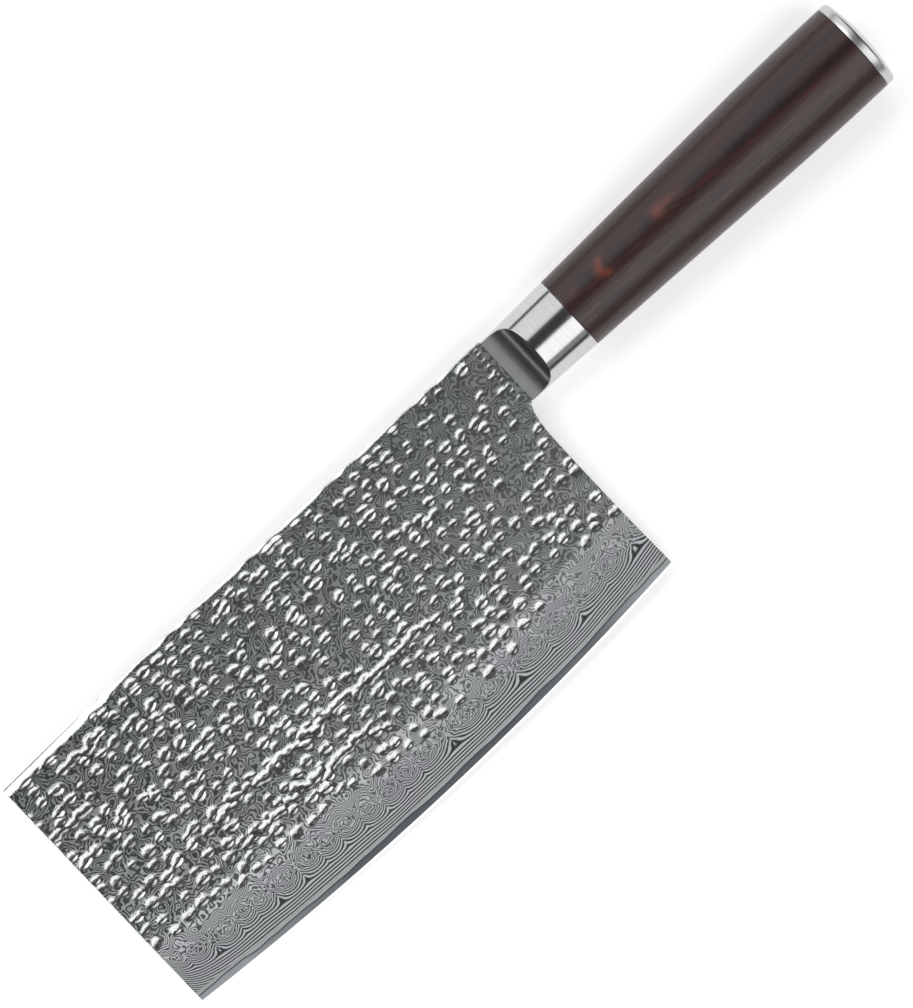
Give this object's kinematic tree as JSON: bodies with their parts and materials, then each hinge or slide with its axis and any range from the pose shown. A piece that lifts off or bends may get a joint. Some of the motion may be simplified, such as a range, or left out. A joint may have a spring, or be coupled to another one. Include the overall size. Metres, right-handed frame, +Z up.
{
  "type": "chinese cleaver",
  "caption": "Chinese vegetable cleaver with a hammered, pattern-welded blade, a scooped steel bolster, an oval laminated-wood grip and a domed steel end cap.",
  "frame": {"origin": "middle of the underside of the whole knife's box. The knife lies there on its right side and touches the surface with the front corner of its edge, the bolster and the grip", "axes": "+X along the knife from the front of the blade to the butt, +Y from the cutting edge to the spine, +Z up. The left side of the blade faces up, leaning 3.7 degrees down towards the edge and 1.5 degrees down towards the front"},
  "size_m": [0.3156, 0.0878, 0.025],
  "materials": {
    "core_steel": "ground and etched hard steel, satin grey, with a bright sharpened bevel",
    "pattern_steel": "etched pattern-welded stainless steel, light and dark lines, hammered above the grind",
    "polished_steel": "stainless steel, polished over a fine satin",
    "laminated_wood": "resin-filled birch laminate, dark brown with reddish layers, sanded and buffed",
    "plain_steel": "bright zinc-plated steel",
    "cured_epoxy": "cured two-part adhesive"
  },
  "bodies": {
    "root": {"blade_core": "core_steel", "cladding_left": "pattern_steel", "cladding_right": "pattern_steel", "bolster": "polished_steel", "handle_grip": "laminated_wood", "end_cap": "polished_steel", "tang_rod": "plain_steel", "tang_epoxy": "cured_epoxy", "nut_washer": "plain_steel", "tang_nut": "plain_steel"}
  },
  "joints": []
}
